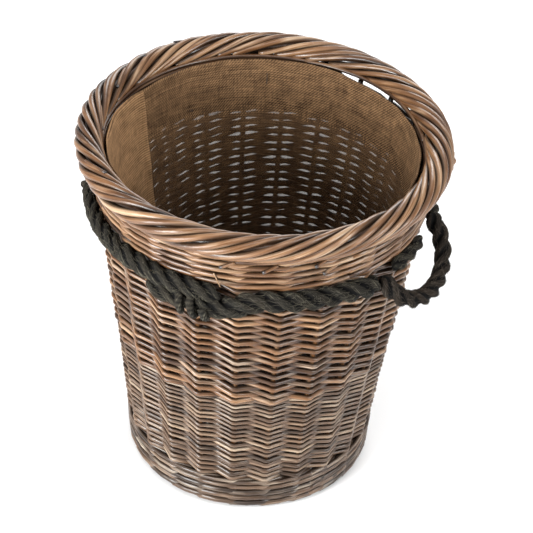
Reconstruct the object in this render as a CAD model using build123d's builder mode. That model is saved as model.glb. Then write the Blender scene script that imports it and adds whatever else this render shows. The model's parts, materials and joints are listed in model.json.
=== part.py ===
from build123d import *
import math
import os

# Round wicker log basket: woven willow wall on upright stakes, rolled border,
# hessian lining and a thick rope round the body with two loop handles.
# Origin: centre of the foot on the floor. +Z up, handles on the X axis, front on -Y.

os.makedirs("parts", exist_ok=True)

# ---- driving dimensions, mm ------------------------------------------------
basket_height = 500.0

# upright stakes
stake_count = 24
stake_radius = 3.5
stake_phase = 4.5          # degrees from the handle line to the nearest stake
stake_foot_z = 8.0
stake_top_z = 476.0
wall_floor_radius = 150.5  # stake line carried down to the floor
wall_slope = 0.1165        # outward lean of the wall per mm of height
socket_clearance = 0.15

# heights of the woven bands
foot_top = 36.0
upsett_top = 86.0
lower_weave_top = 206.0
upper_weave_top = 411.0
wale_top = 471.0

# how far each band stands out from the stake line: on a stake, between stakes
upsett_out = (10.0, 6.0)
lower_out = (8.2, 3.0)
upper_out = (9.4, 3.5)
wale_out = (10.6, 7.0)
woven_in = (9.0, 3.5)

# rolled border
border_roll_radius = 17.5
border_ring_radius = 216.0

# foot ring
foot_inner_radius = 145.4
foot_floor_radius = 158.0
foot_outer_radius = 167.0

# base
base_radius = 145.0
base_slath_half = 38.0
base_stick_radius = 3.5
base_stick_pitch = 8.2
base_long_z = 30.0
base_cross_z = 37.2
base_weave_bottom = 25.0
base_weave_top = 42.2
base_fan_angle = 22.5

# hessian lining
cloth = 1.5
lining_gap = 10.6          # stake line to the outer face of the cloth
lining_floor = 42.4
lining_top = 460.0
hem_height = 10.0
hem_thickness = 3.0
seam_angle = 169.0
seam_width = 4.5           # degrees
stitch_angle = 116.0
stitch_count = 4
stitch_pitch = 4.0
stitch_size = (1.2, 1.0, 2.8)

# rope
rope_radius = 11.0
rope_ring_radius = 218.0
rope_z = 401.0
splice_z = 373.0
splice_gap_angle = 3.05    # band end to the handle root, degrees
splice_tail_end = -102.5
splice_upper_end = -75.6
splice_drop_start = -62.0
splice_drop_end = -77.0
wrap_start = -88.0
wrap_end = -80.0
wrap_thickness = 3.0
wrap_clearance = 0.7
inner_rope_start = -12.5
inner_rope_end = 4.5

# handle loop, in its own plane: outwards from the swing axis, then along it
handle_root_x = 205.5
handle_root_y = 72.5
handle_root_z = 393.0
handle_droop_right = 50.0  # standing out on its stiff rope
handle_droop_left = 72.0   # hanging close to the wall
handle_route = [
    (0.0, -72.5),
    (18.0, -69.0),
    (34.0, -58.5),
    (46.0, -42.5),
    (54.0, -22.5),
    (57.0, 0.0),
    (54.0, 22.5),
    (46.0, 42.5),
    (34.0, 58.5),
    (18.0, 69.0),
    (0.0, 72.5),
]


def stake_line(z):
    return wall_floor_radius + wall_slope * z


def stake_angle(index):
    return stake_phase + index * 360.0 / stake_count


def polar(radius, angle, z):
    a = math.radians(angle)
    return (radius * math.cos(a), radius * math.sin(a), z)


def lobed_points(z, on_stake, between, sign):
    # closed outline with a corner on every stake and one between each pair
    points = []
    for i in range(stake_count):
        for step, reach in ((0.0, on_stake), (0.5, between)):
            angle = math.radians(stake_angle(i + step))
            radius = stake_line(z) + sign * reach
            points.append((radius * math.cos(angle), radius * math.sin(angle)))
    return points


def stakes_solid(radius):
    # all the stakes at once, to be taken out of the bands they run through
    with BuildPart() as group:
        for i in range(stake_count):
            foot = Vector(*polar(stake_line(stake_foot_z), stake_angle(i), stake_foot_z))
            top = Vector(*polar(stake_line(stake_top_z), stake_angle(i), stake_top_z))
            with BuildSketch(Plane(origin=foot, z_dir=top - foot)):
                Circle(radius)
            extrude(amount=(top - foot).length)
    return group.part


def woven_band(bottom, top, reach_out):
    with BuildPart() as band:
        for z in (bottom, top):
            with BuildSketch(Plane.XY.offset(z)):
                Polygon(*lobed_points(z, reach_out[0], reach_out[1], 1), align=None)
        loft()
        for z in (bottom, top):
            with BuildSketch(Plane.XY.offset(z)):
                Polygon(*lobed_points(z, woven_in[0], woven_in[1], -1), align=None)
        loft(mode=Mode.SUBTRACT)
        add(sockets, mode=Mode.SUBTRACT)
    return band


def rope_arc(start, end, z):
    # a length of rope lying round the wall at one height
    with BuildPart() as rope:
        with BuildSketch(Plane.XZ.rotated((0, 0, start))):
            with Locations((rope_ring_radius, z)):
                Circle(rope_radius)
        revolve(axis=Axis.Z, revolution_arc=end - start)
    return rope


def save(piece, name):
    piece.part.label = name
    export_step(piece.part, "parts/" + name + ".step")
    print(name, "solids", len(piece.part.solids()), "volume", round(piece.part.volume, 1))


sockets = stakes_solid(stake_radius + socket_clearance)

# the roll of the border, a hair larger: what stands under it is cut to fit against it
border_z = basket_height - border_roll_radius
with BuildPart() as border_seat:
    with Locations((0, 0, border_z)):
        Torus(border_ring_radius, border_roll_radius + socket_clearance)

# ---- stakes: one rod each ------------------------------------------------------
for index in range(stake_count):
    stake_start = Vector(*polar(stake_line(stake_foot_z), stake_angle(index), stake_foot_z))
    stake_end = Vector(*polar(stake_line(stake_top_z), stake_angle(index), stake_top_z))
    with BuildPart() as stake:
        with BuildSketch(Plane(origin=stake_start, z_dir=stake_end - stake_start)):
            Circle(stake_radius)
        extrude(amount=(stake_end - stake_start).length)
        add(border_seat.part, mode=Mode.SUBTRACT)
    save(stake, "stake_%02d" % (index + 1))

# ---- woven bands of the wall ---------------------------------------------------
upsett_wale = woven_band(foot_top, upsett_top, upsett_out)
save(upsett_wale, "upsett_wale")

lower_weave = woven_band(upsett_top, lower_weave_top, lower_out)
save(lower_weave, "lower_weave")

upper_weave = woven_band(lower_weave_top, upper_weave_top, upper_out)
save(upper_weave, "upper_weave")

# ---- rolled border on top --------------------------------------------------------
with BuildPart() as border:
    with Locations((0, 0, border_z)):
        Torus(border_ring_radius, border_roll_radius)
save(border, "border")

top_wale = woven_band(upper_weave_top, wale_top, wale_out)
with top_wale:
    add(border_seat.part, mode=Mode.SUBTRACT)
save(top_wale, "top_wale")

# ---- foot border -------------------------------------------------------------------
with BuildPart() as foot_border:
    with BuildSketch(Plane.XZ):
        with BuildLine():
            Polyline(
                (foot_inner_radius, 0),
                (foot_floor_radius, 0),
                (foot_outer_radius - 2, 7),
                (foot_outer_radius, 18),
                (foot_outer_radius - 2, foot_top),
                (foot_inner_radius, foot_top),
                close=True,
            )
        make_face()
    revolve(axis=Axis.Z)
    add(sockets, mode=Mode.SUBTRACT)
save(foot_border, "foot_border")


# ---- base: two crossing groups of sticks and the weave round them -------------------
def base_sticks(z, turn, radius):
    with BuildPart() as group:
        for j in range(4):
            side = (j - 1.5) * base_stick_pitch
            fan = math.radians((j - 1.5) * base_fan_angle)
            tip_x = (base_radius - 3) * math.cos(fan)
            tip_y = (base_radius - 3) * math.sin(fan)
            with BuildLine(Plane.XY.offset(z).rotated((0, 0, turn))) as path:
                FilletPolyline(
                    (-tip_x, tip_y),
                    (-base_slath_half, side),
                    (base_slath_half, side),
                    (tip_x, tip_y),
                    radius=12,
                )
            with BuildSketch(Plane(origin=path.line @ 0, z_dir=path.line % 0)):
                Circle(radius)
            sweep()
    return group


base_sticks_long = base_sticks(base_long_z, 0, base_stick_radius)
save(base_sticks_long, "base_sticks_long")

base_sticks_cross = base_sticks(base_cross_z, 90, base_stick_radius)
save(base_sticks_cross, "base_sticks_cross")

stick_fit = base_stick_radius + socket_clearance
with BuildPart() as base_weave:
    with BuildSketch(Plane.XY.offset(base_weave_bottom)):
        Circle(base_radius)
        Circle(base_slath_half - 14, mode=Mode.SUBTRACT)
    extrude(amount=base_weave_top - base_weave_bottom)
    add(base_sticks(base_long_z, 0, stick_fit).part, mode=Mode.SUBTRACT)
    add(base_sticks(base_cross_z, 90, stick_fit).part, mode=Mode.SUBTRACT)
save(base_weave, "base_weave")

# ---- hessian lining --------------------------------------------------------------------
with BuildPart() as lining_base:
    with BuildSketch(Plane.XY.offset(lining_floor)):
        Circle(stake_line(lining_floor) - lining_gap)
    extrude(amount=cloth)
save(lining_base, "lining_base")

lining_bottom = lining_floor + cloth + 0.2


def cloth_radius(z):
    return stake_line(z) - lining_gap


with BuildPart() as lining_wall:
    with BuildSketch(Plane.XZ):
        with BuildLine():
            Polyline(
                (cloth_radius(lining_bottom) - cloth, lining_bottom),
                (cloth_radius(lining_bottom), lining_bottom),
                (cloth_radius(lining_top), lining_top),
                (cloth_radius(lining_top) - cloth, lining_top),
                close=True,
            )
        make_face()
    revolve(axis=Axis.Z)
save(lining_wall, "lining_wall")

hem_bottom = lining_top + 0.2
hem_top = lining_top + hem_height
with BuildPart() as lining_hem:
    with BuildSketch(Plane.XZ):
        with BuildLine():
            Polyline(
                (cloth_radius(hem_bottom) - hem_thickness, hem_bottom),
                (cloth_radius(hem_bottom), hem_bottom),
                (cloth_radius(hem_top), hem_top),
                (cloth_radius(hem_top) - hem_thickness, hem_top),
                close=True,
            )
        make_face()
    revolve(axis=Axis.Z)
save(lining_hem, "lining_hem")

# the overlap where the two ends of the cloth are sewn together
seam_low = lining_bottom + 2
seam_high = lining_top - 2
with BuildPart() as lining_seam:
    with BuildSketch(Plane.XZ.rotated((0, 0, seam_angle))):
        with BuildLine():
            Polyline(
                (cloth_radius(seam_low) - 2 * cloth - 0.2, seam_low),
                (cloth_radius(seam_low) - cloth - 0.2, seam_low),
                (cloth_radius(seam_high) - cloth - 0.2, seam_high),
                (cloth_radius(seam_high) - 2 * cloth - 0.2, seam_high),
                close=True,
            )
        make_face()
    revolve(axis=Axis.Z, revolution_arc=seam_width)
save(lining_seam, "lining_seam")

# a short upright row of dark stitches that tacks the cloth at the back
with BuildPart() as stitches:
    for k in range(stitch_count):
        stitch_z = lining_top - 6 - k * stitch_pitch
        stitch_r = cloth_radius(stitch_z) - cloth - 0.8
        with Locations(Location(polar(stitch_r, stitch_angle, stitch_z), (0, 0, stitch_angle))):
            Box(stitch_size[0], stitch_size[1], stitch_size[2])
save(stitches, "stitches")

# ---- rope round the body --------------------------------------------------------------
root_angle = math.degrees(math.atan2(handle_root_y, handle_root_x))
band_gap = root_angle + splice_gap_angle

rope_back = rope_arc(band_gap, 180 - band_gap, rope_z)
save(rope_back, "rope_back")

rope_left = rope_arc(-180 + band_gap, splice_upper_end, rope_z)
save(rope_left, "rope_left")


def front_rope_height(angle):
    # level, then easing down to run under the other rope end
    share = (splice_drop_start - angle) / (splice_drop_start - splice_drop_end)
    share = min(max(share, 0.0), 1.0)
    return rope_z - (rope_z - splice_z) * 0.5 * (1 - math.cos(math.pi * share))


front_steps = 12
front_points = []
for k in range(front_steps + 1):
    angle = -band_gap + (splice_tail_end + band_gap) * k / front_steps
    front_points.append(Vector(*polar(rope_ring_radius, angle, front_rope_height(angle))))

front_radii = []
for k in range(1, front_steps):
    way_in = front_points[k] - front_points[k - 1]
    way_out = front_points[k + 1] - front_points[k]
    turn = math.radians(way_in.get_angle(way_out))
    front_radii.append(0.45 * min(way_in.length, way_out.length) / math.tan(turn / 2))
print("front rope radii", [round(r, 1) for r in front_radii])

with BuildPart() as rope_front:
    with BuildLine() as front_path:
        FilletPolyline(*front_points, radius=front_radii)
    with BuildSketch(Plane(origin=front_path.line @ 0, z_dir=front_path.line % 0)):
        Circle(rope_radius)
    sweep()
save(rope_front, "rope_front")

# strand wrapped over the splice
with BuildPart() as rope_wrap:
    with BuildSketch(Plane.XZ.rotated((0, 0, wrap_end))):
        with Locations((rope_ring_radius, splice_z)):
            Circle(rope_radius + wrap_thickness)
            Circle(rope_radius + wrap_clearance, mode=Mode.SUBTRACT)
    revolve(axis=Axis.Z, revolution_arc=wrap_start - wrap_end)
save(rope_wrap, "rope_wrap")

# short cut lengths left on the wall inside each handle
rope_stub_right = rope_arc(inner_rope_start, inner_rope_end, rope_z)
save(rope_stub_right, "rope_stub_right")

rope_stub_left = rope_arc(180 + inner_rope_start, 180 + inner_rope_end, rope_z)
save(rope_stub_left, "rope_stub_left")

# ---- rope handles: free loops with round ends centred on the swing axis ----------------
corner_radii = []
for k in range(1, len(handle_route) - 1):
    before = math.dist(handle_route[k - 1], handle_route[k])
    after = math.dist(handle_route[k], handle_route[k + 1])
    way_in = math.atan2(
        handle_route[k][1] - handle_route[k - 1][1],
        handle_route[k][0] - handle_route[k - 1][0],
    )
    way_out = math.atan2(
        handle_route[k + 1][1] - handle_route[k][1],
        handle_route[k + 1][0] - handle_route[k][0],
    )
    turn = abs(way_out - way_in)
    turn = min(turn, 2 * math.pi - turn)
    corner_radii.append(0.45 * min(before, after) / math.tan(turn / 2))
print("handle corner radii", [round(r, 1) for r in corner_radii])


def handle_loop(side, below_level):
    # side +1 is the handle on +X, -1 the one on -X
    droop = math.radians(below_level)
    outward = Vector(side * math.cos(droop), 0, -math.sin(droop))
    along = Vector(0, side, 0)
    origin = Vector(side * handle_root_x, 0, handle_root_z)
    plane = Plane(origin=origin, x_dir=outward, z_dir=outward.cross(along))
    with BuildPart() as loop:
        with BuildLine(plane) as path:
            FilletPolyline(*handle_route, radius=corner_radii)
        with BuildSketch(Plane(origin=path.line @ 0, z_dir=path.line % 0)):
            Circle(rope_radius)
        sweep()
        length = path.wires()[0].length
        bare = loop.part.volume
        with Locations(path.line @ 0, path.line @ 1):
            Sphere(rope_radius)
    section = math.pi * rope_radius ** 2
    print("loop length", round(length, 1), "tube", round(bare), "section x length", round(section * length))
    return loop


handle_right = handle_loop(1, handle_droop_right)
save(handle_right, "handle_right")

handle_left = handle_loop(-1, handle_droop_left)
save(handle_left, "handle_left")
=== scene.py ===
import json
import math
import random

import bpy
import numpy as np
from mathutils import Matrix, Vector


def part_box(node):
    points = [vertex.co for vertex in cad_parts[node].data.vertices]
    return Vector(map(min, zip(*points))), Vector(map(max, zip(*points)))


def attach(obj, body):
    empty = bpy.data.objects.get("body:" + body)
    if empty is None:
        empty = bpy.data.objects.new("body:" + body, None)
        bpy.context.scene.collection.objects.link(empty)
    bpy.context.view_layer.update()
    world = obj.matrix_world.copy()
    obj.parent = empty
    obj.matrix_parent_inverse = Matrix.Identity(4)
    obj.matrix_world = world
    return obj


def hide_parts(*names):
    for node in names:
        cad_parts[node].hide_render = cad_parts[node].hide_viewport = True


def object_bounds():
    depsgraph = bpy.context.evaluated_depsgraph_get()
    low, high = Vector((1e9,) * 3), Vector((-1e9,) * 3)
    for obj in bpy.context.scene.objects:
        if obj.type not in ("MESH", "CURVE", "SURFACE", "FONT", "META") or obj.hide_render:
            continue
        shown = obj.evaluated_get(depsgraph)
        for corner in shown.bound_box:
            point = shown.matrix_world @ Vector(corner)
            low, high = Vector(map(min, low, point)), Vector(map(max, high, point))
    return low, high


# Round wicker log basket. Every rod is its own tube: stakes, French rand tiers,
# waling, a wound border, and a three-strand rope with two loop handles.

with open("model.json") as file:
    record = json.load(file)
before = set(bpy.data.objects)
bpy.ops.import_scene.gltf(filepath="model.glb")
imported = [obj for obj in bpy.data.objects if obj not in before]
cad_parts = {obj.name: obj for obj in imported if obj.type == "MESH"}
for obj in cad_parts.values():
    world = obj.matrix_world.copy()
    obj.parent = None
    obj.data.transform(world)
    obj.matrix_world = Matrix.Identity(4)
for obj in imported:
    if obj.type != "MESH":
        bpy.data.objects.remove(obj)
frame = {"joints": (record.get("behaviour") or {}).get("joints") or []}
cad_low, cad_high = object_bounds()

rng = random.Random(7)

# ---- sizes in metres, taken from the frame -----------------------------------------
FULL_TURN = 2 * math.pi
UPRIGHT = (0, 0, 1)
STAKES = 24
STEP = FULL_TURN / STAKES
STAKE_R = 0.0035
SIDES = 8  # sides of a woven rod


def middle(node):
    low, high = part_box(node)
    return (Vector(low) + Vector(high)) / 2


first = middle("stake_01")
PHASE = math.atan2(first.y, first.x)
stake_low, stake_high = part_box("stake_01")
LEAN = 0.1165  # outward lean of a stake for each metre of height
LINE_0 = math.hypot(first.x, first.y) - LEAN * (stake_low[2] + stake_high[2]) / 2

FOOT_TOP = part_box("foot_border")[1][2]
UPSETT_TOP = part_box("upsett_wale")[1][2]
LOWER_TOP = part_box("lower_weave")[1][2]
UPPER_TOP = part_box("upper_weave")[1][2]
border_low, border_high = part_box("border")
ROLL = (border_high[2] - border_low[2]) / 2
RIM_Z = (border_high[2] + border_low[2]) / 2
RIM_R = border_high[0] - ROLL
rope_low, rope_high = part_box("rope_back")
ROPE_R = (rope_high[2] - rope_low[2]) / 2
ROPE_Z = middle("rope_back").z
ROPE_RING = rope_high[1] - ROPE_R
SPLICE_Z = middle("rope_wrap").z


def line(z):
    """Radius of the stakes' axes at a height."""
    return LINE_0 + LEAN * z


def polar(r, a, z):
    return np.array([r * math.cos(a), r * math.sin(a), z])


def clamp(x, low, high):
    return min(max(x, low), high)


def smooth(x):
    x = clamp(x, 0.0, 1.0)
    return x * x * (3 - 2 * x)


def bump(angle, low, high, edge):
    """1 between two angles in degrees, easing to 0 over edge degrees outside them."""
    angle = angle % 360.0
    return smooth((angle - low + edge) / edge) * smooth((high + edge - angle) / edge)


def mesh_object(name, co, faces, material, vectors):
    """A smooth mesh with one material and named vector attributes."""
    mesh = bpy.data.meshes.new(name)
    mesh.from_pydata(co, [], faces)
    for key, data in vectors.items():
        layer = mesh.attributes.new(key, "FLOAT_VECTOR", "POINT")
        layer.data.foreach_set("vector", np.asarray(data, np.float32).ravel())
    mesh.polygons.foreach_set("use_smooth", [True] * len(mesh.polygons))
    mesh.materials.append(material)
    obj = bpy.data.objects.new(name, mesh)
    bpy.context.scene.collection.objects.link(obj)
    return obj


# ---- many tubes in one mesh ----------------------------------------------------------
def travel(path):
    """Distance gone along a path at each of its points."""
    return np.concatenate([[0], np.cumsum(np.linalg.norm(np.diff(path, axis=0), axis=1))])


class Bundle:
    """Tubes in one mesh. skin runs along and round each tube for its grain, look holds
    its tone, wash and dark shares, and a third attribute is 1 on the side away from up
    and on the flanks, marking painted shade in the gaps between rods."""

    def __init__(self, name):
        self.name = name
        self.co = []
        self.faces = []
        self.skin = []
        self.look = []
        self.groove_shade = []
        self.count = 0

    def add(
        self, path, radius, up, tone=0.5, wash=0.3, dark=0.0, sides=8,
        twist=None, section=None, oval=(1.0, 1.0),
    ):
        """A closed tube. tone, wash and dark may be one number or one for each point."""
        path = np.asarray(path, float)
        n = len(path)
        radius = np.broadcast_to(np.asarray(radius, float), (n,))
        up = np.broadcast_to(np.asarray(up, float), (n, 3))
        along = np.gradient(path, axis=0)
        along /= np.linalg.norm(along, axis=1)[:, None] + 1e-12
        a = up - (up * along).sum(1)[:, None] * along
        a /= np.linalg.norm(a, axis=1)[:, None] + 1e-12
        b = np.cross(along, a)
        turn = np.arange(sides) * FULL_TURN / sides
        spin = np.zeros(n) if twist is None else np.asarray(twist, float)
        phi = turn[None, :] + spin[:, None]
        reach = radius[:, None] * (np.ones((n, sides)) if section is None else section)
        ring = (
            path[:, None, :]
            + (oval[0] * reach * np.cos(phi))[:, :, None] * a[:, None, :]
            + (oval[1] * reach * np.sin(phi))[:, :, None] * b[:, None, :]
        )
        start = rng.uniform(0, 40)
        skin = np.stack(
            [
                np.repeat((travel(path) + start)[:, None], sides, 1),
                np.cos(turn)[None, :] * radius[:, None],
                np.sin(turn)[None, :] * radius[:, None],
            ],
            2,
        )
        shares = [np.broadcast_to(np.asarray(x, float), (n,)) for x in (tone, wash, dark)]
        look = np.stack([np.repeat(x[:, None], sides, 1) for x in shares], 2)
        # mask for painted shade: the side away from up and the flanks, where rods meet
        flank = np.clip((np.abs(np.sin(turn)) - 0.5) / 0.5, 0, 1)
        groove_shade = np.where(np.cos(turn) < -0.05, 1.0, flank)
        self.groove_shade.append(np.tile(groove_shade, n))
        base = self.count + np.arange(n - 1)[:, None] * sides
        k = np.arange(sides)[None, :]
        nxt = (k + 1) % sides
        quads = np.stack([base + k, base + nxt, base + sides + nxt, base + sides + k], 2).reshape(-1, 4)
        self.faces.extend(quads.tolist())
        self.faces.append([self.count + i for i in reversed(range(sides))])
        self.faces.append([self.count + (n - 1) * sides + i for i in range(sides)])
        self.co.append(ring.reshape(-1, 3))
        self.skin.append(skin.reshape(-1, 3))
        self.look.append(look.reshape(-1, 3))
        self.count += n * sides

    def make(self, material, body="basket"):
        vectors = {"skin": np.concatenate(self.skin), "look": np.concatenate(self.look)}
        co = np.concatenate(self.co).tolist()
        obj = mesh_object(self.name, co, self.faces, material, vectors)
        layer = obj.data.attributes.new("groove_shade", "FLOAT", "POINT")
        layer.data.foreach_set("value", np.concatenate(self.groove_shade).astype(np.float32))
        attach(obj, body)
        return obj


# ---- node helpers ----------------------------------------------------------------------
class Nodes:
    def __init__(self, name):
        self.material = bpy.data.materials.new(name)
        self.material.use_nodes = True
        self.tree = self.material.node_tree
        self.shader = self.tree.nodes["Principled BSDF"]
        self.out = self.tree.nodes["Material Output"]

    def new(self, kind, **values):
        node = self.tree.nodes.new(kind)
        for key, value in values.items():
            setattr(node, key, value)
        return node

    def link(self, a, b):
        self.tree.links.new(a, b)

    def put(self, socket, value):
        if isinstance(value, bpy.types.NodeSocket):
            self.link(value, socket)
        else:
            socket.default_value = value

    def attribute(self, name, output="Vector"):
        return self.new("ShaderNodeAttribute", attribute_name=name).outputs[output]

    def split(self, vector):
        node = self.new("ShaderNodeSeparateXYZ")
        self.link(vector, node.inputs[0])
        return node.outputs

    def scaled(self, vector, scale):
        node = self.new("ShaderNodeVectorMath", operation="MULTIPLY")
        self.link(vector, node.inputs[0])
        node.inputs[1].default_value = scale
        return node.outputs[0]

    def noise(self, vector, scale, detail=3.0, rough=0.55):
        node = self.new("ShaderNodeTexNoise")
        self.link(vector, node.inputs["Vector"])
        node.inputs["Scale"].default_value = scale
        node.inputs["Detail"].default_value = detail
        node.inputs["Roughness"].default_value = rough
        return node.outputs["Fac"]

    def math(self, operation, a, b=0.0, clamp=False):
        node = self.new("ShaderNodeMath", operation=operation, use_clamp=clamp)
        self.put(node.inputs[0], a)
        self.put(node.inputs[1], b)
        return node.outputs[0]

    def span(self, value, low, high, to_low=0.0, to_high=1.0):
        node = self.new("ShaderNodeMapRange")
        self.put(node.inputs["Value"], value)
        limits = {"From Min": low, "From Max": high, "To Min": to_low, "To Max": to_high}
        for key, x in limits.items():
            node.inputs[key].default_value = x
        return node.outputs[0]

    def ramp(self, value, stops):
        node = self.new("ShaderNodeValToRGB")
        self.put(node.inputs[0], value)
        ramp = node.color_ramp
        while len(ramp.elements) < len(stops):
            ramp.elements.new(0.5)
        for element, (place, colour) in zip(ramp.elements, stops):
            element.position = place
            element.color = (*colour, 1.0)
        return node.outputs[0]

    def mix(self, share, a, b, how="MIX"):
        node = self.new("ShaderNodeMix", data_type="RGBA", blend_type=how)
        self.put(node.inputs[0], share)
        self.put(node.inputs[6], a if isinstance(a, bpy.types.NodeSocket) else (*a, 1.0))
        self.put(node.inputs[7], b if isinstance(b, bpy.types.NodeSocket) else (*b, 1.0))
        return node.outputs[2]

    def bump(self, height, strength, distance):
        node = self.new("ShaderNodeBump")
        node.inputs["Strength"].default_value = strength
        node.inputs["Distance"].default_value = distance
        self.link(height, node.inputs["Height"])
        self.link(node.outputs[0], self.shader.inputs["Normal"])


SPECK = (0.035, 0.02, 0.012)
# colour of cut rod ends, and also of the painted shade on the rod cores
CUT_END_AND_CORE_SHADE = (0.030, 0.033, 0.038)
# colour of the painted shade in the gaps between rods
GROOVE_SHADE = (0.010, 0.006, 0.004)


def willow(name, stops, wash_colour, gloss):
    """Steamed willow: warm brown skin with long streaks, paler rubbed patches and dark
    specks, with painted shade, nearly black, where two rods meet. stops is its colour
    from dark to light."""
    m = Nodes(name)
    skin = m.attribute("skin")
    tone, wash, dark = m.split(m.attribute("look"))
    streak = m.noise(m.scaled(skin, (14.0, 420.0, 420.0)), 1.0, 4.0, 0.6)
    patch = m.noise(m.scaled(skin, (22.0, 90.0, 90.0)), 1.0, 2.0, 0.5)
    speck = m.noise(m.scaled(skin, (160.0, 520.0, 520.0)), 1.0, 2.0, 0.5)
    level = m.math("ADD", tone, m.span(streak, 0.25, 0.75, -0.26, 0.26))
    level = m.math("ADD", level, m.span(patch, 0.3, 0.7, -0.16, 0.16), True)
    colour = m.ramp(level, stops)
    rubbed = m.math("MULTIPLY", m.span(patch, 0.46, 0.66), m.span(streak, 0.4, 0.62))
    rubbed = m.math("MULTIPLY", rubbed, wash, True)
    colour = m.mix(rubbed, colour, wash_colour)
    colour = m.mix(m.span(speck, 0.66, 0.78, 0.0, 0.55), colour, SPECK)
    colour = m.mix(dark, colour, CUT_END_AND_CORE_SHADE)
    # painted shade: each rod darkened nearly to black where it meets its neighbours
    groove_shade = m.attribute("groove_shade", "Fac")
    colour = m.mix(m.span(groove_shade, 0.0, 1.0, 0.0, 0.86), colour, GROOVE_SHADE)
    m.link(colour, m.shader.inputs["Base Color"])
    m.link(m.span(streak, 0.3, 0.7, gloss - 0.08, gloss + 0.14), m.shader.inputs["Roughness"])
    m.shader.inputs["Specular IOR Level"].default_value = 0.5
    m.bump(m.math("ADD", streak, m.math("MULTIPLY", speck, 0.6)), 0.35, 0.0006)
    return m.material


WALL_STOPS = [
    (0.0, (0.022, 0.009, 0.004)),
    (0.3, (0.074, 0.031, 0.011)),
    (0.6, (0.165, 0.074, 0.028)),
    (0.85, (0.285, 0.150, 0.068)),
    (1.0, (0.400, 0.255, 0.145)),
]
wall_willow = willow("wall willow", WALL_STOPS, (0.48, 0.38, 0.28), 0.31)
LOW_STOPS = [
    (0.0, (0.020, 0.011, 0.006)),
    (0.3, (0.068, 0.037, 0.020)),
    (0.6, (0.155, 0.090, 0.052)),
    (0.85, (0.270, 0.182, 0.115)),
    (1.0, (0.390, 0.295, 0.205)),
]
low_willow = willow("lower willow", LOW_STOPS, (0.44, 0.38, 0.30), 0.33)
BORDER_STOPS = [
    (0.0, (0.026, 0.011, 0.004)),
    (0.3, (0.085, 0.037, 0.015)),
    (0.6, (0.175, 0.083, 0.035)),
    (0.85, (0.280, 0.155, 0.076)),
    (1.0, (0.380, 0.245, 0.142)),
]
border_willow = willow("border willow", BORDER_STOPS, (0.46, 0.34, 0.23), 0.28)

SHADE_BETWEEN_STRANDS = (0.002, 0.002, 0.002)


def rope_material(name, base, pale, brown):
    """Tarred fibre rope: charcoal yarns, with painted shade, nearly black, between the
    strands and in the grooves of the yarns, and paler loose fibres lying along them."""
    m = Nodes(name)
    skin = m.attribute("skin")
    tone, fibre, _ = m.split(m.attribute("look"))
    yarn = m.noise(m.scaled(skin, (60.0, 520.0, 520.0)), 1.0, 4.0, 0.7)
    fine = m.noise(m.scaled(skin, (170.0, 1500.0, 1500.0)), 1.0, 2.0, 0.6)
    patch = m.noise(m.scaled(skin, (30.0, 60.0, 60.0)), 1.0, 2.0, 0.5)
    colour = m.mix(m.span(patch, 0.35, 0.65), base, brown)
    colour = m.mix(m.span(yarn, 0.54, 0.70, 0.0, 0.85), colour, pale)
    colour = m.mix(m.span(fine, 0.60, 0.74, 0.0, 0.6), colour, pale)
    # painted shade: the first look share is low in the creases, which are mixed towards near black
    colour = m.mix(m.span(tone, 0.2, 0.95, 1.0, 0.0), colour, SHADE_BETWEEN_STRANDS)
    colour = m.mix(fibre, colour, pale)
    m.link(colour, m.shader.inputs["Base Color"])
    m.shader.inputs["Roughness"].default_value = 0.82
    m.shader.inputs["Specular IOR Level"].default_value = 0.12
    m.bump(m.math("ADD", yarn, fine), 0.6, 0.0012)
    return m.material


band_rope = rope_material(
    "band rope",
    (0.026, 0.025, 0.021),
    (0.210, 0.192, 0.140),
    (0.036, 0.030, 0.022),
)
handle_rope = rope_material(
    "handle rope",
    (0.026, 0.021, 0.017),
    (0.165, 0.136, 0.106),
    (0.038, 0.028, 0.020),
)

JUTE = (0.150, 0.086, 0.042)
JUTE_DEEP = (0.022, 0.010, 0.005)
JUTE_PALE = tuple(min(1.0, 2.4 * c) for c in JUTE)
CLOTH_PITCH = 0.0038  # between two coarse threads


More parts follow.
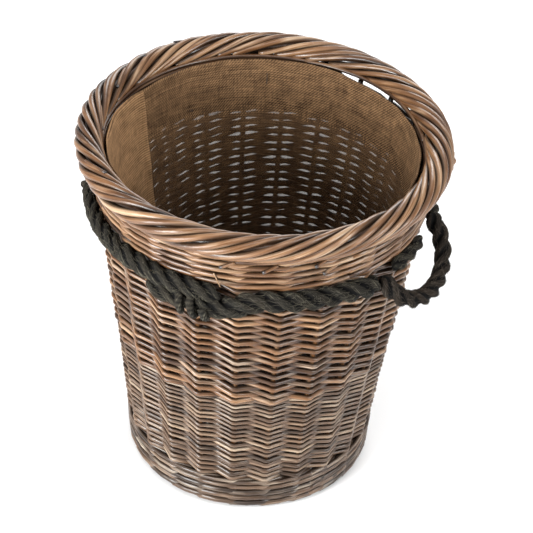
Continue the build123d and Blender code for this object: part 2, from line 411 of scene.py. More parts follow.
def hessian(name, see_through):
    """Plain jute weave, open enough to let a little daylight in where see_through is set,
    and painted darker lower down as painted shade.
    """
    m = Nodes(name)
    cloth = m.attribute("cloth")
    u, v, panel = m.split(cloth)
    noise = m.noise(m.scaled(cloth, (1.0, 1.0, 0.0)), 60.0, 3.0)
    slub = m.noise(m.scaled(cloth, (40.0, 420.0, 0.0)), 1.0, 3.0)
    slub_up = m.noise(m.scaled(cloth, (420.0, 40.0, 0.0)), 1.0, 3.0)
    turns = FULL_TURN / CLOTH_PITCH
    across = m.math("SINE", m.math("MULTIPLY", v, turns * 1.1))
    lean = m.math("ADD", m.math("MULTIPLY", u, turns), m.math("MULTIPLY", v, turns * 0.85))
    down = m.math("MULTIPLY", m.math("SINE", lean), m.span(panel, 0.0, 1.0, 1.0, 0.15))
    across = m.math("MULTIPLY", across, m.span(panel, 0.0, 1.0, 0.35, 1.0))
    weave = m.math("ADD", across, down)
    level = m.math("ADD", m.span(weave, -1.1, 1.1, 0.20, 0.62), m.span(slub, 0.3, 0.7, -0.16, 0.16))
    level = m.math("ADD", level, m.span(slub_up, 0.3, 0.7, -0.12, 0.12))
    level = m.math("ADD", level, m.span(noise, 0.3, 0.7, -0.12, 0.12))
    # painted shade: the cloth grows darker lower down inside the basket, and the base cloth is at its
    # darkest
    level = m.math("ADD", level, m.span(v, 0.05, 0.40, -0.30, 0.02))
    level = m.math("ADD", level, m.math("MULTIPLY", panel, 0.30), True)
    colour = m.ramp(level, [(0.0, JUTE_DEEP), (0.5, JUTE), (1.0, JUTE_PALE)])
    m.link(colour, m.shader.inputs["Base Color"])
    m.shader.inputs["Roughness"].default_value = 0.9
    m.shader.inputs["Specular IOR Level"].default_value = 0.15
    if see_through:
        m.link(m.span(v, 0.345, 0.40, 1.0 - see_through, 1.0), m.shader.inputs["Alpha"])
    m.bump(weave, 0.5, 0.0007)
    return m.material


lining_cloth = hessian("hessian", 0.37)
hem_cloth = hessian("hem hessian", 0.0)


def plain(name, colour, roughness):
    m = Nodes(name)
    m.shader.inputs["Base Color"].default_value = (*colour, 1.0)
    m.shader.inputs["Roughness"].default_value = roughness
    return m.material


thread = plain("dark thread", (0.015, 0.011, 0.009), 0.8)


# ---- rods ------------------------------------------------------------------------------
def radial(path):
    out = np.array(path, float)
    out[:, 2] = 0
    return out / (np.linalg.norm(out, axis=1)[:, None] + 1e-12)


FINE = {"share": 0.16, "arc": (0.0, 0.34, 0.66, 1.0), "runs": (0.35, 0.5, 0.65)}
COARSE = {"share": 0.3, "arc": (0.0, 0.5, 1.0), "runs": (0.5,)}


def rounded(nodes, share, arc, runs):
    """A rod through the nodes: straight runs with a short bend at each one. share is how
    far a bend reaches along its runs; arc and runs are where the rod has points."""
    out = [nodes[0]]
    for i in range(1, len(nodes) - 1):
        p, q, r = nodes[i - 1], nodes[i], nodes[i + 1]
        a, b = q + (p - q) * share, q + (r - q) * share
        lift = q + (q - (a + b) / 2) * 0.9
        out.extend((1 - t) ** 2 * a + 2 * t * (1 - t) * lift + t * t * b for t in arc)
        out.extend(q + (r - q) * t for t in runs)
    out.append(nodes[-1])
    return np.array(out)


def stake_at(k):
    return PHASE + k * STEP


def behind_stakes(path):
    """0 on or outside the stakes' axes, 1 from 4 mm inside them."""
    return np.clip((line(path[:, 2]) - np.hypot(path[:, 0], path[:, 1])) / 0.004, 0, 1)


def french_rand(tier, low, high, thick, thin):
    """A tier of rods, one from behind each stake, each going in front of one stake
    and behind the next and climbing by its own thickness at every stake. thick and thin
    are a rod's radius at its butt and its tip."""
    steps = int(round((high - low) / (0.945 * (thick + thin))))
    share = np.arange(steps + 1) / steps
    climb = np.concatenate([[0], np.cumsum(2 * (thick + (thin - thick) * share[:-1]))])
    climb = climb * (high - low) / (climb[-1] + thick + thin) + thick
    for j in range(STAKES):
        size = rng.uniform(0.9, 1.1)
        tone = clamp(rng.gauss(0.52, 0.15), 0.18, 0.95)
        wash = rng.uniform(0.0, 0.8)
        nodes = []
        for s in range(-1, steps + 2):
            c = clamp(s, 0, steps)
            r = size * (thick + (thin - thick) * c / steps)
            z = low + climb[c] + rng.uniform(-0.35, 0.35) * r
            z = clamp(z, low + r, high - r * 0.6)
            side = 1 if s % 2 == 0 else -1
            reach = STAKE_R + r + rng.uniform(-0.1, 0.35) * 0.001
            if s in (-1, steps + 1):
                side = -1
            nodes.append(polar(line(z) + side * reach, stake_at(j - s), z))
        path = rounded(nodes, **FINE)
        n = len(path)
        t = np.linspace(0, 1, n)
        radius = size * (thick + (thin - thick) * t)
        swell = np.zeros(n)
        for _ in range(rng.randint(5, 9)):
            swell += 0.16 * np.exp(-(((t - rng.random()) * n / 1.3) ** 2))
        radius = radius * (1 + swell) * np.clip((1 - t) * n / 3 + 0.35, 0, 1)
        shade = tone + 0.05 * np.sin(t * rng.uniform(10, 30) + rng.uniform(0, 6))
        behind = behind_stakes(path)
        # painted shade: the rod is made darker where it passes behind the stakes
        shade = shade - 0.42 * behind
        ends = np.where(t > 1 - 1.5 / n, 0.8, 0.0)
        fuller = (1.0, 1 + 0.42 * behind[:, None])
        tier.add(path, radius, radial(path), shade, wash, ends, SIDES, oval=fuller)


# a waling rod's rise at each half step of its three, in sweeps of 1.5 rod radii
RISE = (0.75, 0.6, 0.05, -0.35, -0.45, 0.5)
AT_STAKE = (1.0, 1.0, -1.0)
BETWEEN_STAKES = (1.12, 0.05, 0.05)


def waling(name, layers, tones, sweep=1.0, lie=None):
    """Rods worked in front of two stakes and behind one, three to a layer. layers is a
    list of (height, rod radius), tones the middle tone, and lie moves a row up or down."""
    band = Bundle(name)
    for number, (z, r) in enumerate(layers):
        shift = rng.randrange(STAKES)
        for m in range(3):
            size = rng.uniform(0.9, 1.1)
            tone = clamp(rng.gauss(tones, 0.16), 0.15, 0.95)
            wash = rng.uniform(0.2, 0.95)
            nodes = []
            for k in range(-1, STAKES + 3):
                p = (k - m - shift) % 3
                for half in (0, 1):
                    side = BETWEEN_STAKES[p] if half else AT_STAKE[p]
                    angle = stake_at(-(k + half / 2))
                    height = z + sweep * 1.5 * r * (RISE[2 * p + half] + rng.uniform(-0.1, 0.1))
                    height = max(height, r * 1.12)
                    if lie:
                        height += lie(math.degrees(angle), number)
                    reach = side * (STAKE_R + r)
                    nodes.append(polar(line(height) + reach, angle, height))
            path = rounded(nodes, **COARSE)
            n = len(path)
            t = np.linspace(0, 1, n)
            shade = tone + 0.1 * np.sin(t * 9 + rng.uniform(0, 6))
            # painted shade: the rod is made darker where it passes behind the stakes
            shade = shade - 0.4 * behind_stakes(path)
            swell = 1 + 0.05 * np.sin(t * rng.uniform(20, 50))
            band.add(path, r * size * swell, radial(path), shade, wash, 0.0, SIDES)
    return band


# ---- stakes and woven bands -------------------------------------------------------------
stakes = Bundle("stakes")
stake_foot = 0.009
stake_head = RIM_Z - ROLL * 0.75
for k in range(STAKES):
    heights = [stake_foot + (stake_head - stake_foot) * t for t in np.linspace(0, 1, 9)]
    path = [polar(line(z), stake_at(k), z) for z in heights]
    stakes.add(path, STAKE_R, radial(path), tone=rng.uniform(0.3, 0.6), wash=0.4, sides=10)
stakes = stakes.make(wall_willow)
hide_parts(*["stake_%02d" % (k + 1) for k in range(STAKES)])

lower = Bundle("lower_tier")
french_rand(lower, UPSETT_TOP - 0.002, LOWER_TOP + 0.001, thick=0.00265, thin=0.00200)
lower = lower.make(low_willow)
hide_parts("lower_weave")

upper = Bundle("upper_tier")
french_rand(upper, LOWER_TOP, UPPER_TOP + 0.002, thick=0.0033, thin=0.0029)
upper = upper.make(wall_willow)
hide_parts("upper_weave")

WALE_ROWS = 6
WALE_ROD = 0.0035
WALE_PITCH = 0.0103  # height of one row
WALE_TILT = 0.0030
CLEAR = (54, 82)  # degrees between which the border stands clear of the wall


def wale_dip(angle, number):
    """The last wale rows lie lower beside one handle, where the border stands clear of them."""
    return -(0.0028 * number) * bump(angle, CLEAR[0] - 2, CLEAR[1] + 2, 14)


def uneven(angle):
    """The bottom of the wale and the rope under it sit lower at one side of the front."""
    return -WALE_TILT * math.sin(math.radians(angle + 60.0))


def wale_lie(angle, number):
    return wale_dip(angle, number) + (1 - number / (WALE_ROWS - 1)) * uneven(angle)


wale_rows = [(UPPER_TOP + 0.004 + WALE_PITCH * i, WALE_ROD) for i in range(WALE_ROWS)]
top_band = waling("top_waling", wale_rows, tones=0.5, lie=wale_lie)

# cut rod ends on the wale: (degrees round the basket, height)
cut_ends = [(-73.5, 0.452), (-60.0, 0.451), (-43.5, 0.456), (-40.5, 0.442)]
cut_ends += [(rng.uniform(-20, 265), rng.choice([0.440, 0.452, 0.459])) for _ in range(9)]
cut_rod = 0.0023
cut_dark = np.clip(np.linspace(-3.5, 1.4, 8), 0, 1)
for degrees, z in cut_ends:
    a = math.radians(degrees)
    out = line(z) + STAKE_R + 0.0066
    path = [polar(out + 0.0025 * t, a - 0.06 * t, z - 0.006 * t) for t in np.linspace(-0.6, 0.8, 8)]
    top_band.add(path, cut_rod, radial(path), 0.6, 0.6, cut_dark, SIDES)

# a splinter of pale wood that has lifted off the wale
splinter = []
for t in np.linspace(0, 1, 8):
    a = math.radians(-78.3 + 2.6 * t)
    splinter.append(polar(line(0.43) + 0.0105 + 0.003 * t, a, 0.434 - 0.017 * t))
top_band.add(splinter, np.linspace(0.0011, 0.0006, 8), radial(splinter), 1.0, 1.0, sides=6)
top_band = top_band.make(border_willow)
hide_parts("top_wale")

upsett_rows = [(FOOT_TOP + 0.004, 0.0033), (FOOT_TOP + 0.0134, 0.0033)]
upsett = waling("upsett_waling", upsett_rows, tones=0.36, sweep=0.8)
french_rand(upsett, FOOT_TOP + 0.018, UPSETT_TOP + 0.001, thick=0.0030, thin=0.0027)
upsett = upsett.make(low_willow)
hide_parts("upsett_wale")

# foot: thick rods laid round in long low sweeps
foot_low, foot_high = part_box("foot_border")
foot_mid = (foot_low[2] + foot_high[2]) / 2
foot_rows = [(0.0095, 0.0043), (0.0205, 0.0041), (0.0305, 0.0038)]
foot = waling("foot_rods", foot_rows, tones=0.30, sweep=0.6)
# a core behind the foot rods, painted nearly black as painted shade in the gaps between them
foot_core = [polar(line(foot_mid) + 0.001, a, foot_mid) for a in np.linspace(0, FULL_TURN, 97)]
foot.add(foot_core, 0.0062, UPRIGHT, tone=0.12, wash=0.0, dark=0.2, sides=10)
foot = foot.make(low_willow)
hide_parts("foot_border")

# ---- border: rods wound round the rim ----------------------------------------------------
border = Bundle("border_rods")
WOUND = 50  # rods wound round the rim
RIM_POINTS = 37  # points on one of them
PACKING_ROD = 0.0029


def rim_path(points):
    """The points and, for each, the way out from the middle of the border's roll."""
    path = np.array(points)
    core = np.array([polar(RIM_R, math.atan2(p[1], p[0]), RIM_Z) for p in path])
    return path, path - core


for i in range(WOUND):
    r = rng.uniform(0.0039, 0.0047)
    tone = clamp(rng.gauss(0.56, 0.13), 0.3, 0.95)
    wash = rng.uniform(0.1, 0.8)
    start = (i + rng.uniform(-0.12, 0.12)) * FULL_TURN / WOUND
    span = math.radians(rng.uniform(55, 61))
    from_a, to_a = math.radians(rng.uniform(-92, -78)), math.radians(rng.uniform(198, 216))
    seat = ROLL - r + rng.uniform(-0.0004, 0.0008)
    points = []
    for t in np.linspace(0, 1, RIM_POINTS):
        section = from_a + (to_a - from_a) * t
        angle = start + span * (t + 0.02 * math.sin(FULL_TURN * t))
        flatter = 0.10 + 0.05 * bump(math.degrees(angle), *CLEAR, 12)
        reach = seat * (1 - flatter * max(0.0, -math.sin(section)))
        points.append(polar(RIM_R + reach * math.cos(section), angle, RIM_Z + reach * math.sin(section)))
    path, outward = rim_path(points)
    t = np.linspace(0, 1, RIM_POINTS)
    swell = 1 + 0.09 * np.exp(-(((t - rng.random()) * RIM_POINTS / 1.2) ** 2))
    radius = r * swell * (1.08 - 0.22 * t)
    border.add(path, radius, outward, tone + 0.06 * np.sin(t * 7 + i), wash, 0.0, SIDES + 2)

# two packing rods under the roll, and one that bridges the gap beside a handle
for out, drop, first_a, last_a in ((-0.0166, 0.0130, 92, 405), (-0.0152, 0.0075, 87, 411)):
    angles = np.radians(np.linspace(first_a, last_a, 157))
    packing = [polar(RIM_R + out, a, RIM_Z - drop) for a in angles]
    border.add(packing, PACKING_ROD, UPRIGHT, tone=0.35, wash=0.2)
bridge = []
for a in range(34, 103, 2):
    height = RIM_Z - 0.0046 - 0.003 * ((a - 68) / 30) ** 2
    bridge.append(polar(RIM_R - 0.0158, math.radians(a), height))
border.add(bridge, PACKING_ROD, UPRIGHT, tone=0.4, wash=0.3)

# the core inside the roll, painted nearly black as painted shade between the wound rods
ring = [polar(RIM_R, a, RIM_Z) for a in np.linspace(0, FULL_TURN, 145)]
border.add(ring, ROLL - 0.0078, UPRIGHT, tone=0.1, wash=0.0, dark=0.15, sides=14)

# cut ends that stand out of the roll, and one knob
for _ in range(9):
    a, section = rng.uniform(0, FULL_TURN), math.radians(rng.uniform(-50, 150))
    points = []
    for t in np.linspace(-1, 1, 9):
        s = section + 0.42 * t
        out = ROLL - 0.0016 + 0.0008 * t
        points.append(polar(RIM_R + out * math.cos(s), a + 0.09 * t, RIM_Z + out * math.sin(s)))
    path, outward = rim_path(points)
    border.add(path, 0.0021, outward, 0.5, 0.5, np.clip(np.linspace(-6, 1.3, 9), 0, 1), SIDES)
knob = []
for t in np.linspace(-1, 1, 13):
    knob.append(polar(RIM_R + ROLL - 0.0022, math.radians(21.0 + 3.0 * t), RIM_Z - 0.002 + 0.004 * t))
knob_size = 0.0028 + 0.0026 * np.exp(-((np.linspace(-1, 1, 13) / 0.3) ** 2))
border.add(knob, knob_size, radial(knob), tone=0.6, wash=0.4, sides=12)
border = border.make(border_willow)
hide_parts("border")

# ---- base: crossed sticks with rods woven round them ---------------------------------------
base = Bundle("base_rods")
BASE_PITCH = 0.0047  # between two turns of the base weave
BASE_STICKS = 4  # each way
BASE_TIPS = 16
TIP_ANGLE = 360 / BASE_TIPS
long_z = middle("base_sticks_long").z
cross_z = middle("base_sticks_cross").z
base_mid = (long_z + cross_z) / 2
base_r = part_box("base_weave")[1][0]
tip = base_r - 0.003
for j in range(BASE_STICKS):
    place = j - (BASE_STICKS - 1) / 2
    side = place * 0.0082
    fan = math.radians(place * TIP_ANGLE)
    for turn, z in ((0, long_z), (90, cross_z)):
        c, s = math.cos(math.radians(turn)), math.sin(math.radians(turn))
        far_x, far_y = tip * math.cos(fan), tip * math.sin(fan)
        flat = [(-far_x, far_y), (-0.038, side), (0.038, side), (far_x, far_y)]
        nodes = [np.array([c * x - s * y, s * x + c * y, z]) for x, y in flat]
        path = rounded(nodes, 0.2, FINE["arc"], FINE["runs"])
        base.add(path, STAKE_R, UPRIGHT, rng.uniform(0.3, 0.6), 0.3, 0.0, SIDES)
for lay in range(int((base_r - 0.044) / BASE_PITCH)):
    r = 0.046 + lay * BASE_PITCH
    nodes = []
    for k in range(BASE_TIPS + 1):
        a = math.radians(TIP_ANGLE / 2 + TIP_ANGLE * (k % BASE_TIPS))
        nodes.append(polar(r, a, base_mid + (0.0062 if (k + lay) % 2 else -0.0062)))
    path = rounded(nodes, **COARSE)
    tone = clamp(rng.gauss(0.42, 0.12), 0.15, 0.8)
    base.add(path, 0.0023, UPRIGHT, tone, rng.uniform(0.1, 0.7), 0.0, SIDES)
base = base.make(wall_willow)
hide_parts("base_sticks_long", "base_sticks_cross", "base_weave")


# ---- hessian lining -----------------------------------------------------------------------
CLOTH_INSET = 0.0114  # from the stakes' axes in to the cloth
CLOTH_R = 0.18  # radius that turns an angle into a length along the cloth
CLOTH_START = 0.04  # height where the cloth's pattern starts


def cloth_grid(name, rows, columns, place, panel, thickness, material, closed=True):
    """A woven sheet on rows and columns. place(u, v) gives a point, and panel(u, v) how
    far the cloth there lies double and looks lighter."""
    width = columns if closed else columns + 1
    co, cloth = [], []
    for i in range(rows + 1):
        for j in range(width):
            u, v = j / columns, i / rows
            p = place(u, v)
            co.append(tuple(p))
            around = math.atan2(p[1], p[0]) % FULL_TURN * CLOTH_R
            cloth.append((around, p[2] - CLOTH_START, panel(u, v)))
    faces = []
    for i in range(rows):
        for j in range(columns):
            k = (j + 1) % width
            faces.append((i * width + j, i * width + k, (i + 1) * width + k, (i + 1) * width + j))
    obj = mesh_object(name, co, faces, material, {"cloth": cloth})
    solid = obj.modifiers.new("thickness", "SOLIDIFY")
    solid.thickness = thickness
    solid.offset = 0.0
    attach(obj, "basket")
    return obj


wall_low, wall_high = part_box("lining_wall")
hem_low, hem_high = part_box("lining_hem")
WALL_HEIGHT = wall_high[2] - wall_low[2]
seam_mid = middle("lining_seam")
SEAM = math.atan2(seam_mid.y, seam_mid.x)


def cloth_r(z):
    return line(z) - CLOTH_INSET


def edge_drop(angle):
    """How far the top edge hangs below level."""
    dip = 0.0018 * bump(math.degrees(angle), *CLEAR, 16)
    return dip + 0.0012 * math.sin(3 * angle) + 0.0008 * math.sin(7 * angle)


def cloth_face(a, z):
    """Radius of the cloth's middle, with its shallow ripples and its dips over the stakes."""
    v = (z - wall_low[2]) / WALL_HEIGHT
    ripple = 0.0011 * math.sin(5 * a + 3 * v) + 0.0007 * math.sin(11 * a - 9 * v)
    ripple += 0.0005 * math.sin(31 * v + 2 * a)
    return cloth_r(z) + ripple - 0.0008 - 0.0009 * (0.5 + 0.5 * math.cos(STAKES * (a - PHASE)))


def wall_place(u, v):
    a = u * FULL_TURN
    z = wall_low[2] + WALL_HEIGHT * v
    z -= edge_drop(a) * smooth((v - 0.8) / 0.2)
    return polar(cloth_face(a, z), a, z)


def panel_share(u, v):
    """1 where the cloth laps over itself, from the seam round to about 42 degrees past it."""
    past = math.degrees(u * FULL_TURN) - math.degrees(SEAM) % 360
    return smooth(past - 0.3) * (1 - smooth((past - 42) / 14))


lining = cloth_grid("lining_wall_cloth", 90, 288, wall_place, panel_share, 0.0008, lining_cloth)
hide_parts("lining_wall")


def hem_place(u, v):
    """The top edge turned over: up the outside, round the fold and down the inside."""
    a = u * FULL_TURN
    top = hem_high[2] + 0.0055 - edge_drop(a)
    bottom = hem_low[2] - 0.001 - edge_drop(a)
    reach = abs(v - 0.5) * 2
    z = top + (bottom - top) * reach ** 1.2
    away = 0.0010 * (1 if v < 0.5 else -1) * (1 - math.exp(-reach * 9))
    if v > 0.5:
        away *= 1 - smooth((reach - 0.45) / 0.55)
    return polar(cloth_face(a, z) + away, a, z)


hem = cloth_grid("lining_hem_cloth", 20, 288, hem_place, panel_share, 0.0007, hem_cloth)
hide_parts("lining_hem")


def seam_place(u, v):
    """The free end of the cloth, lapped over its start; its edge runs a little off upright."""
    a = SEAM + math.radians(0.1 + 40.0 * u + 2.4 * (v - 0.5) * (1 - u))
    z = wall_low[2] + 0.004 + (hem_high[2] - wall_low[2]) * v
    back = 0.0019 + 0.0008 * math.exp(-((u * 22) ** 2)) - 0.0014 * smooth((u - 0.8) / 0.2)
    return polar(cloth_face(a, z) - back, a, z)


seam = cloth_grid(
    "lining_seam_cloth", 80, 44, seam_place, lambda u, v: 1.0, 0.0008, hem_cloth, closed=False
)
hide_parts("lining_seam")

base_cloth_low, base_cloth_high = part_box("lining_base")
BASE_CLOTH_Z = (base_cloth_low[2] + base_cloth_high[2]) / 2
BASE_CLOTH_R = base_cloth_high[0] - 0.001


def floor_place(u, v):
    a = u * FULL_TURN
    z = BASE_CLOTH_Z + 0.0006 * math.sin(4 * a) * v + 0.0005 * math.sin(30 * v)
    return polar(max(0.002, v * BASE_CLOTH_R), a, z)


bottom = cloth_grid("lining_base_cloth", 30, 96, floor_place, lambda u, v: 0.0, 0.0009, hem_cloth)
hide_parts("lining_base")

sewn = Bundle("stitch_threads")
STITCHES = 5
STITCH_END = 0.0012  # from the end of the row to the middle of its last stitch
stitch_mid = middle("stitches")
stitch_a = math.atan2(stitch_mid.y, stitch_mid.x)
stitch_low, stitch_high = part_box("stitches")
stitch_run = stitch_high[2] - stitch_low[2] - 2 * STITCH_END
for k in range(STITCHES):
    z = stitch_low[2] + STITCH_END + k * stitch_run / (STITCHES - 1)
    r = cloth_r(z) - 0.0034
    path = []
    for t in np.linspace(0, 1, 7):
        a = stitch_a + 0.004 * (t - 0.5)
        path.append(polar(r + 0.0012 * (2 * t - 1) ** 2, a, z + 0.0028 * (t - 0.5)))
    sewn.add(path, 0.0006, radial(path), tone=0.2, wash=0.0, sides=6)
sewn = sewn.make(thread)
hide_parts("stitches")

# ---- rope ------------------------------------------------------------------------------------
LAY = 0.072  # length in which a strand goes once round the rope
YARN = 0.0095  # length in which a strand's yarns repeat
FIBRE_GAP = 0.0005  # length of rope for each fibre
FIBRE_LEAST = 0.002  # a fibre shorter than this is left out
FIBRE_SIZE = np.linspace(0.00034, 0.00014, 5)


def evenly(points, gap):
    """The same line with points about gap apart, and the distance gone at each."""
    points = np.asarray(points, float)
    gone = travel(points)
    n = max(8, int(gone[-1] / gap))
    at = np.linspace(0, gone[-1], n + 1)
    return np.stack([np.interp(at, gone, points[:, i]) for i in range(3)], 1), at


def rope_along(bundle, points, up, radius, taper, fuzz, phase, oval=(1.0, 1.0)):
    """A three-strand rope. The section has three lobes that turn along the length, and
    taper is the length over which each end rounds off. fuzz is its share of loose fibres."""
    sides = 72
    path, at = evenly(points, 0.0022)
    n = len(path)
    twist = at / LAY * FULL_TURN + phase
    turn = np.arange(sides) * FULL_TURN / sides
    third = (turn * 3 / FULL_TURN) % 1.0
    alpha = (1 - np.abs(third - 0.5) * 2) * math.pi / 3
    strand_c, strand_r = 0.536, 0.464
    deep = np.maximum(strand_r ** 2 - (strand_c * np.sin(alpha)) ** 2, 0.0)
    shape = strand_c * np.cos(alpha) + np.sqrt(deep)
    shape = np.maximum(shape, 0.60 + 0.04 * np.cos(alpha))
    around = np.arctan2(shape * np.sin(alpha), shape * np.cos(alpha) - strand_c)
    sign = np.where(third > 0.5, 1.0, -1.0)
    crest = np.cos(13 * around[None, :] * sign[None, :] + (at / YARN * FULL_TURN)[:, None])
    lump = 0.03 * np.sin(at / 0.031 + phase)[:, None] + 0.02 * np.sin(at / 0.0131)[:, None]
    section = shape[None, :] * (1 + lump) + 0.055 * crest * (shape[None, :] > 0.7)
    size = np.full(n, radius)
    for gap, length in ((at, taper[0]), (at[-1] - at, taper[1])):
        size = size * np.sqrt(np.clip(1 - (1 - np.clip(gap / length, 0, 1)) ** 2, 0.02, 1))
    bundle.add(path, size, up, 0.5, 0.0, 0.0, sides, twist, section, oval)
    # the first look share marks painted shade: 0 in the creases between strands, lower in the yarn
    # grooves
    tone = np.clip((shape - 0.62) / 0.25, 0.0, 1.0)
    look = bundle.look[-1].reshape(n, sides, 3)
    look[:, :, 0] = tone[None, :] * (0.55 + 0.45 * crest)
    bundle.look[-1] = look.reshape(-1, 3)
    add_fibres(bundle, path, bundle.co[-1].reshape(n, sides, 3), at[-1], fuzz)


def add_fibres(bundle, path, ring, length, fuzz):
    """Loose fibres that lie along the strands; ring holds the rope's skin points."""
    n, sides = ring.shape[:2]
    for _ in range(int(length / FIBRE_GAP * fuzz * (1.0))):
        i = rng.randrange(2, max(3, n - 8))
        k = rng.randrange(sides)
        reach = rng.randint(2, 5)
        fibre = []
        lift = rng.uniform(0.0001, 0.0006)
        lean = rng.choice([-1.3, -1.1, -0.9, -0.7]) * sides / 42
        for step in range(5):
            ii = min(n - 1, i + int(reach * step / 4))
            kk = int(round(k + lean * step)) % sides
            outward = ring[ii, kk] - path[ii]
            outward = outward / (np.linalg.norm(outward) + 1e-9)
            away = lift * math.sin(math.pi * step / 4) + 0.00015 + 0.0006 * step / 4 * rng.random()
            fibre.append(ring[ii, kk] + outward * away)
        fibre = np.array(fibre)
        if np.linalg.norm(fibre[-1] - fibre[0]) < FIBRE_LEAST:
            continue
        bundle.add(fibre, FIBRE_SIZE, fibre - path[i], 1.0, rng.uniform(0.0, 0.42), 0.0, 3)


hinges = {j["child"]: j for j in frame["joints"]}
ROOT_X, _, ROOT_Z = hinges["right_handle"]["pos_m"]
# a handle's route from root to root: how far out from the hinge line, and along it
ROUTE = [
    (0.0, -0.0725),
    (0.018, -0.069),
    (0.034, -0.0585),
    (0.046, -0.0425),
    (0.054, -0.0225),
    (0.057, 0.0),
    (0.054, 0.0225),
    (0.046, 0.0425),
    (0.034, 0.0585),
    (0.018, 0.069),
    (0.0, 0.0725),
]
DROOP_RIGHT = 50.0  # degrees below level at rest
DROOP_LEFT = 72.0
root_angle = math.degrees(math.atan2(ROUTE[-1][1], ROOT_X))
GAP = root_angle + 3.05  # where the CAD's band ends beside a root


def root_height(a):
    """The band eases down to each handle root."""
    off = min(abs(abs(a) - root_angle), abs(abs(a) - 180 + root_angle))
    level = ROPE_Z + uneven(a)
    return level - (level - ROOT_Z) * math.exp(-((off - 1.5) / 9.0) ** 2)


def front_height(a):
    """The front stretch dips at the splice, by less than its CAD solid does."""
    share = clamp((-62.0 - a) / 15.0, 0.0, 1.0)
    return root_height(a) - 0.62 * (ROPE_Z - SPLICE_Z) * 0.5 * (1 - math.cos(math.pi * share))


def stub_height(a):
    return ROPE_Z + uneven(a) + 0.0025


def left_height(a):
    """The left stretch rides up before the splice and then tucks under."""
    return root_height(a) + 0.003 * smooth((a + 125.0) / 20.0) - 0.006 * smooth((a + 82.0) / 7.0)


band = Bundle("band_rope")
FLAT = (1.16, 0.86)  # the section's height and depth, for one of each when round
FULL = ROPE_R + 0.0012
STUB = FULL * 0.74  # size of the short cut ends
BAND_INSET = 0.0048  # how far the band sinks into the weave
STUB_INSET = 0.0070


def band_piece(start, end, taper, phase, height, size=FULL, inset=BAND_INSET):
    """A length of the band between two angles in degrees, pressed flat against the wall."""
    points = []
    for t in np.linspace(0, 1, max(6, int(abs(end - start) * 1.5))):
        a = start + (end - start) * t
        points.append(polar(ROPE_RING - inset, math.radians(a), height(a)))
    rope_along(band, points, UPRIGHT, size, taper, 1.0, phase, FLAT)


band_piece(GAP - 1.2, 180 - GAP + 1.2, (0.010, 0.010), 0.4, root_height)
band_piece(-180 + GAP - 1.2, -75.6, (0.010, 0.030), 1.2, left_height)
band_piece(-GAP + 1.2, -102.5, (0.010, 0.022), 2.2, front_height)
band_piece(-14.0, 4.5, (0.012, 0.004), 0.9, stub_height, STUB, STUB_INSET)
band_piece(166.0, 184.5, (0.012, 0.004), 2.0, stub_height, STUB, STUB_INSET)
band = band.make(band_rope)
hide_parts("rope_back", "rope_left", "rope_front", "rope_stub_right", "rope_stub_left")

# one strand wound over the splice at the front
lashing = Bundle("rope_lashing")
LASHING_Z = SPLICE_Z + 0.0110
LASHING_TURNS = 2.15
LASHING_SIDES = 18
LASHING_YARNS = 6
path, core = [], []
for t in np.linspace(0, 1, 121):
    s = FULL_TURN * LASHING_TURNS * t - 0.6
    a = math.radians(-88.0 + 8.0 * t - 1.6 * math.sin(s))
    out, tall = (ROPE_R + 0.0010) * math.cos(s), (ROPE_R + 0.0024) * math.sin(s)
    path.append(polar(ROPE_RING - 0.0022 + out, a, LASHING_Z + tall))
    core.append(polar(ROPE_RING, a, LASHING_Z))
path = np.array(path)
crest = np.cos(np.arange(LASHING_SIDES) * FULL_TURN / LASHING_SIDES * LASHING_YARNS)
lashing.add(
    path,
    0.0047,
    path - np.array(core),
    # the tone share puts painted shade in bands along the strand, between its yarns
    tone=0.6 + 0.3 * np.sin(np.arange(len(path)) * 1.9),
    wash=0.0,
    sides=LASHING_SIDES,
    twist=np.linspace(0, 26, len(path)),
    section=np.tile(0.93 + 0.09 * crest, (len(path), 1)),
)
lashing = lashing.make(band_rope)
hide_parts("rope_wrap")

# ---- handles -----------------------------------------------------------------------------
ROOT_SINK = 0.009  # how far the rope goes on past each root, into the band


def handle(name, node, body, side, below_level):
    """A rope loop along the route, turned below level about the line through its roots."""
    droop = math.radians(below_level)
    curve = bpy.data.curves.new(name + "_route", "CURVE")
    curve.dimensions = "3D"
    spline = curve.splines.new("NURBS")
    spline.points.add(len(ROUTE) - 1)
    for point, (out, along) in zip(spline.points, ROUTE):
        point.co = (
            side * (ROOT_X + out * math.cos(droop)),
            side * along,
            ROOT_Z - out * math.sin(droop),
            1.0,
        )
    spline.order_u = 3
    spline.use_endpoint_u = True
    spline.resolution_u = 12
    route = bpy.data.objects.new(name + "_route", curve)
    bpy.context.scene.collection.objects.link(route)
    bpy.context.view_layer.update()
    mesh = bpy.data.meshes.new_from_object(route)
    points = [tuple(v.co) for v in mesh.vertices]
    bpy.data.objects.remove(route)
    bpy.data.meshes.remove(mesh)
    rope = Bundle(name)
    normal = Vector((side * math.sin(droop), 0, math.cos(droop)))
    way = np.array(points)
    first, last = way[0] - way[1], way[-1] - way[-2]
    first, last = first / np.linalg.norm(first), last / np.linalg.norm(last)
    longer = [way[0] + first * ROOT_SINK, *way, way[-1] + last * ROOT_SINK]
    rope_along(rope, longer, tuple(normal), ROPE_R, (0.010, 0.010), fuzz=0.8, phase=0.5)
    obj = rope.make(handle_rope, body)
    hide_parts(node)


handle("handle_right_rope", "handle_right", "right_handle", 1, DROOP_RIGHT)
handle("handle_left_rope", "handle_left", "left_handle", -1, DROOP_LEFT)

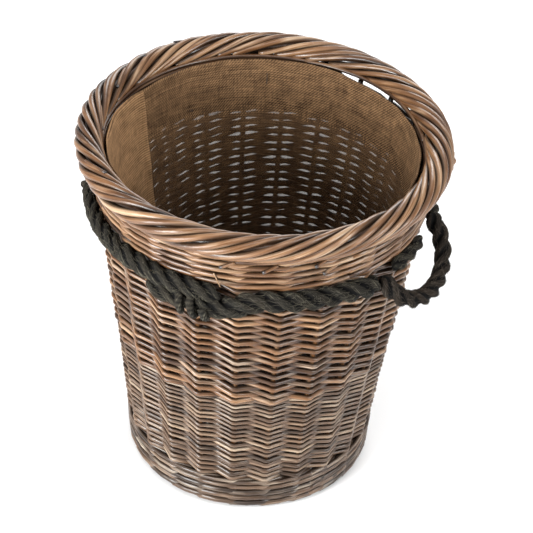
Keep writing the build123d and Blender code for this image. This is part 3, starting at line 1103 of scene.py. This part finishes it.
# ---- floor, light and camera -----------------------------------------------------------
FLOOR = 9.0  # half its width
corners = [(-FLOOR, -FLOOR, 0), (FLOOR, -FLOOR, 0), (FLOOR, FLOOR, 0), (-FLOOR, FLOOR, 0)]
floor_mesh = bpy.data.meshes.new("floor")
floor_mesh.from_pydata(corners, [], [(0, 1, 2, 3)])
floor = bpy.data.objects.new("floor", floor_mesh)
bpy.context.scene.collection.objects.link(floor)
floor_mesh.materials.append(plain("pale floor", (0.9, 0.9, 0.9), 0.95))

world = bpy.data.worlds.new("studio")
bpy.context.scene.world = world
world.use_nodes = True
background = world.node_tree.nodes["Background"]
background.inputs["Color"].default_value = (1.0, 1.0, 1.0, 1.0)
background.inputs["Strength"].default_value = 0.5

# photographer's side: the camera stands off the front, towards the right handle
VIEW_FROM = math.radians(-64.5)
target = Vector((0.0, 0.0, cad_high[2] / 2))


def lamp(name, swing, distance, height, size, power):
    """A softbox aimed at the basket. swing is in degrees round from the camera's side,
    positive to the camera's right; power is in watts."""
    light = bpy.data.lights.new(name, "AREA")
    light.shape = "SQUARE"
    light.size = size
    light.energy = power
    obj = bpy.data.objects.new(name, light)
    a = VIEW_FROM + math.radians(swing)
    obj.location = (distance * math.cos(a), distance * math.sin(a), height)
    way = target - Vector(obj.location)
    obj.rotation_euler = way.to_track_quat("-Z", "Y").to_euler()
    bpy.context.scene.collection.objects.link(obj)


lamp("key", -46, 2.4, 0.95, 1.2, 118)
lamp("side", 62, 2.3, 1.55, 1.0, 48)
lamp("top", 10, 0.9, 2.9, 1.6, 26)
lamp("back", 170, 2.6, 1.8, 1.6, 50)

camera_data = bpy.data.cameras.new("camera")
camera_data.sensor_width = 36.0
camera_data.lens = 134.6
camera_data.shift_x = 0.0195
camera_data.shift_y = 0.0364
camera = bpy.data.objects.new("camera", camera_data)
away = 2.6
lift = math.radians(39.4)
roll = math.radians(3.35)
level = away * math.cos(lift)
camera.location = target + Vector(
    (level * math.cos(VIEW_FROM), level * math.sin(VIEW_FROM), away * math.sin(lift))
)
look = (target - camera.location).to_track_quat("-Z", "Y").to_matrix().to_4x4()
look.translation = camera.location
camera.matrix_world = look @ Matrix.Rotation(roll, 4, "Z")
bpy.context.scene.collection.objects.link(camera)
bpy.context.scene.camera = camera
bpy.context.scene.view_settings.view_transform = "Standard"
bpy.context.scene.view_settings.look = "None"
